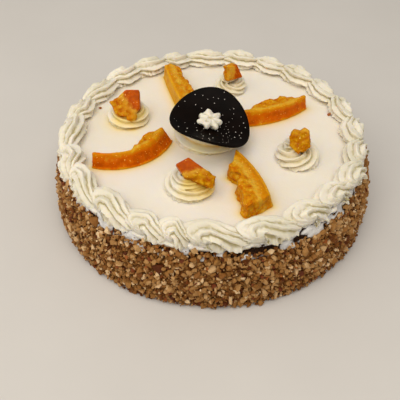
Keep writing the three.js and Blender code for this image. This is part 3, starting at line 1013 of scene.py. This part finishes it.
candied_orange = candied_material("candied_orange", PULP_STOPS)
for slice_name, cut in SLICES.items():
    fruit_slice = softened(run_together(slice_shape(**cut), SLICE_VOXEL), 3)

    def inward_of(point):
        """How far a point lies in from the rind's leaning face."""
        along_way = Vector((point.x - cut["centre"][0], point.y - cut["centre"][1]))
        turn = atan2(along_way.y, along_way.x)
        share = ease(radians(min(cut["arc"])), radians(max(cut["arc"])), turn)
        first, last = cut["lean"] if cut["arc"][0] < cut["arc"][1] else reversed(cut["lean"])
        lean = (first + (last - first) * share) * (point.z - DECK) / SLICE_THICKNESS
        return cut["radius"] - lean - along_way.length

    inward = [inward_of(point.co) for point in fruit_slice.verts]
    piece = put_in_frame(
        f"candied_slice_{slice_name}",
        rounded(torn(fruit_slice, inward_of)),
        candied_orange,
        "candied_orange",
        f"orange_slice_{slice_name}",
    )
    mark(piece, "inward", inward)
    mark(piece, "pith", np.full(len(inward), cut["pith"]))
    levels = [(point.co.z / MM - DECK) / SLICE_THICKNESS for point in piece.data.vertices]
    edges = [max(ease(0.6, 1.0, level), ease(0.2, 0.0, level)) for level in levels]
    mark(piece, "amber", cut["amber"] + (1 - cut["amber"]) * RIND_EDGE_AMBER * np.array(edges))


# The chunks are cut from the same candied orange, thicker and stubbier, each pressed at a slant into its
# rosette. On each the rind shows on one side only. Two have darker pulp, painted shade, and a lump of
# pulp has slid down from another.
CHUNK_RINDS = {
    "left_back": {"way": (0.75, 0.2, 0.6), "edge": 4.0},
    "back": {"way": (0.8, -0.6, 0.1), "edge": 2.0},
    "right": {"way": (0.2, 0.9, 0.4), "edge": 6.0},
    "front": {"way": (-0.25, 0.7, 0.65), "edge": 2.0},
}
CHUNK_VOXEL = 0.5
CHUNK_PITH = 2.0
CHUNK_AMBER = 0.15
DRIP_PLACE = Vector((-61.6, 13.6, 65.0))
DRIP_SIZE = (4.4, 4.4, 2.4)
DRIP_SLOPE = radians(41)
CHUNK_RIND_SOFTNESS = 0.5
SHADED_CHUNKS = ["right", "front"]
# Darker pulp stops for the two shaded chunks: painted shade.
SHADED_PULP_STOPS = [
    (0.28, paint(168, 78, 0)),
    (0.46, paint(187, 114, 0)),
    (0.62, paint(202, 140, 6)),
    (0.8, paint(226, 180, 40)),
]
shaded_orange = candied_material("shaded_candied_orange", SHADED_PULP_STOPS)

for chunk_name, rind in CHUNK_RINDS.items():
    node = f"orange_chunk_{chunk_name}"
    block = bmesh.new()
    block.from_mesh(bpy.data.objects[node].data)
    bmesh.ops.remove_doubles(block, verts=block.verts, dist=1e-6)
    bmesh.ops.scale(block, vec=(1 / MM, 1 / MM, 1 / MM), verts=block.verts)
    if chunk_name == "left_back":
        lying = Matrix.Rotation(DRIP_SLOPE, 4, "X") @ Matrix.Diagonal((*DRIP_SIZE, 1.0))
        placing = Matrix.Translation(DRIP_PLACE) @ lying
        bmesh.ops.create_icosphere(block, subdivisions=3, radius=1.0, matrix=placing)
    block = softened(run_together(block, CHUNK_VOXEL), 3)
    low, high = box_of(node)
    rind_way = Vector(rind["way"]).normalized()
    rind_face = 0.5 * (low + high) + rind_way * rind["edge"]

    def inward_of(point):
        """How far a point lies in from the rind's edge."""
        return RIND_DEPTH + CHUNK_RIND_SOFTNESS * (rind_face - point).dot(rind_way)

    inward = [inward_of(point.co) for point in block.verts]
    piece = put_in_frame(
        f"candied_chunk_{chunk_name}",
        rounded(torn(block, inward_of)),
        shaded_orange if chunk_name in SHADED_CHUNKS else candied_orange,
        "candied_orange",
        node,
    )
    mark(piece, "inward", inward)
    mark(piece, "pith", np.full(len(inward), CHUNK_PITH))
    mark(piece, "amber", np.full(len(inward), CHUNK_AMBER))


# The disc is dark chocolate, poured thin, cut round and bent over a roll while it set. It leans on the
# mound and carries a dusting of sugar specks that fell more thickly to one side.
DISC_RADIUS = 29.8
DISC_THICKNESS = 2.4
DISC_BEND = 0.025
DISC_BEND_AZIMUTH = radians(81)
DISC_TILT_BACK = radians(6.4)
DISC_TILT_RIGHT = radians(12)
DISC_PLACE = Vector((-2.3, -9.6, 74.0))
DISC_STEPS = 128
DISC_RINGS = 24
DISC_EDGE_STEPS = 7
SPECK_COUNT = 75
SPECK_APART = 2.6
SPECK_SIZES = (0.35, 0.95)
SPECK_MARGIN = 2.0
SPECK_CROWDING = 0.45
SPECK_SIDE = radians(-45)
SPECK_SPREAD = radians(85)
SPECK_SEED = 11

disc_turn = Matrix.Rotation(DISC_TILT_RIGHT, 3, "Y") @ Matrix.Rotation(DISC_TILT_BACK, 3, "X")


def on_disc(point):
    """Where a point of the flat disc lies once the disc is bent and leans on the mound."""
    run = point.x * cos(DISC_BEND_AZIMUTH) + point.y * sin(DISC_BEND_AZIMUTH)
    bent = Vector((point.x, point.y, point.z + 0.5 * DISC_BEND * run * run))
    return disc_turn @ bent + DISC_PLACE


def chocolate_material():
    material, start, here = new_material("dark_chocolate")
    cloud = here.grain(12.0)
    finish_material(
        start,
        cloud.step(0.3, 0.75).blend(paint(8, 4, 2), paint(18, 9, 5)),
        0.4 + 0.15 * here.grain(4.0),
        here.grain(7.0) + 0.3 * here.grain(0.8),
        0.12,
        {"Specular IOR Level": 0.05},
    )
    return material


half = 0.5 * DISC_THICKNESS
edge = [radians(angle) for angle in np.linspace(-90, 90, DISC_EDGE_STEPS)]
underside = [(radius, -half) for radius in np.linspace(0, DISC_RADIUS - half, DISC_RINGS)]
rim = [(DISC_RADIUS - half + half * cos(a), half * sin(a)) for a in edge[1:-1]]
upper = [(radius, height + DISC_THICKNESS) for radius, height in reversed(underside)]
disc = spun([*underside, *rim, *upper], DISC_STEPS)
for point in disc.verts:
    point.co = on_disc(point.co)
put_in_frame("chocolate_crisp", rounded(disc), chocolate_material(), "dark_chocolate", "chocolate_disc")


def speck_material():
    material, start, here = new_material("sugar_speck")
    glint = here.grain(0.6)
    finish_material(
        start, glint.blend(paint(170, 160, 148), paint(226, 218, 206)), 0.35 + 0.2 * glint, glint, 0.05, {}
    )
    return material


speck_draw = np.random.default_rng(SPECK_SEED)
specks = bmesh.new()
fallen = []
while len(fallen) < SPECK_COUNT:
    reach = (DISC_RADIUS - SPECK_MARGIN) * speck_draw.uniform() ** SPECK_CROWDING
    turn = speck_draw.normal(SPECK_SIDE, SPECK_SPREAD)
    place = Vector((reach * cos(turn), reach * sin(turn), half))
    if any((place - other).length < SPECK_APART for other in fallen):
        continue
    fallen.append(place)
    size = speck_draw.uniform(*SPECK_SIZES)
    placing = Matrix.Translation(on_disc(place)) @ Matrix.Scale(size, 4)
    bmesh.ops.create_icosphere(specks, subdivisions=1, radius=0.5, matrix=placing)
put_in_frame("sugar_specks", rounded(specks), speck_material(), "smooth_cream")


# The star is one short press of the nozzle on the disc: seven soft points round a blunt middle.
STAR_PLACE = Vector((-0.6, -0.2, 0.0))
STAR_RADIUS = 9.6
STAR_HEIGHT = 6.5
STAR_SINK = 0.6
STAR_POINTS = 7
STAR_AROUND = 128
STAR_ALONG = 48
STAR_POINT_DEPTH = 0.19
STAR_CREASE = 0.14
STAR_UNEVEN = 0.3
STAR_UNEVEN_TURN = 0.15
STAR_TWIST = 1.4
STAR_LUMP = 0.6
STAR_LUMP_GRAIN = 3.0


def star_place(along, around):
    """Where a point of the star lies: its points fade towards the blunt middle."""
    spread = sin(pi * along) ** 0.7
    uneven_turn = STAR_UNEVEN_TURN * noise.noise(Vector((cos(around), sin(around), 3.1)))
    lobe = cos(STAR_POINTS * (around + uneven_turn) + STAR_TWIST * along)
    long = 1 + STAR_UNEVEN * noise.noise(Vector((1.5 * cos(around), 1.5 * sin(around), 0.7)))
    reach = STAR_RADIUS * long * spread * (1 - STAR_POINT_DEPTH * ease(0.1, 0.6, along) * (1 - lobe))
    rise = 0.5 * STAR_HEIGHT * (1 + cos(pi * along)) * (1 + STAR_CREASE * lobe * spread)
    spot = Vector((reach * cos(around), reach * sin(around), half - STAR_SINK + rise))
    return on_disc(STAR_PLACE + spot + STAR_LUMP * noise.noise_vector(spot / STAR_LUMP_GRAIN))


star_shape = rounded(skin(STAR_AROUND, STAR_ALONG, star_place))
star = put_in_frame("cream_rosette_star", star_shape, piped_cream, "piped_cream", "cream_star")
mark_groove_shade(star, passes=10, depth=0.4)
mark(star, "syrup", np.zeros(len(star.data.vertices)))


# The cake stands on a plain pale floor, under one large soft light above and in front, with a smaller
# one low on the left and an even pale sky.
CAMERA_PLACE = Vector((-9.43, -405.5, 366.4)) * MM
CAMERA_TILT = radians(47.23)
CAMERA_VIEW = radians(33)
FLOOR_SIZE = 6.0
LIGHT_AIM = (0, 0, 0.04)
SKY_STRENGTH = 0.34

floor_shape = bmesh.new()
bmesh.ops.create_grid(floor_shape, x_segments=8, y_segments=8, size=FLOOR_SIZE)
floor_mesh = bpy.data.meshes.new("floor")
floor_shape.to_mesh(floor_mesh)
floor_shape.free()
floor_material, floor_start, floor_here = new_material("pale_floor")
floor_cloud = floor_here.grain(90.0)
finish_material(
    floor_start, floor_cloud.blend(paint(206, 200, 192), paint(214, 208, 200)), 0.7, floor_cloud, 0.05, {}
)
floor_mesh.materials.append(floor_material)
floor = bpy.data.objects.new("floor", floor_mesh)
bpy.context.scene.collection.objects.link(floor)


def soft_light(name, place, size, power, colour):
    """A square lamp that faces the cake."""
    lamp = bpy.data.lights.new(name, "AREA")
    lamp.size = size
    lamp.energy = power
    lamp.color = colour
    holder = bpy.data.objects.new(name, lamp)
    holder.location = place
    holder.rotation_euler = (Vector(LIGHT_AIM) - Vector(place)).to_track_quat("-Z", "Y").to_euler()
    bpy.context.scene.collection.objects.link(holder)


soft_light("window", (-0.15, -0.85, 1.9), size=2.0, power=34.5, colour=(1.0, 0.97, 0.92))
soft_light("side_fill", (-0.9, -0.2, 0.6), size=1.0, power=2.5, colour=(1.0, 0.96, 0.9))
sky = bpy.data.worlds.new("sky")
sky.use_nodes = True
sky.node_tree.nodes["Background"].inputs["Color"].default_value = (1.0, 0.98, 0.95, 1.0)
sky.node_tree.nodes["Background"].inputs["Strength"].default_value = SKY_STRENGTH
bpy.context.scene.world = sky
bpy.context.scene.view_settings.view_transform = "Standard"

lens = bpy.data.cameras.new("camera")
lens.angle = CAMERA_VIEW
camera = bpy.data.objects.new("camera", lens)
camera.location = CAMERA_PLACE
camera.rotation_euler = (CAMERA_TILT, 0, 0)
bpy.context.scene.collection.objects.link(camera)
bpy.context.scene.camera = camera
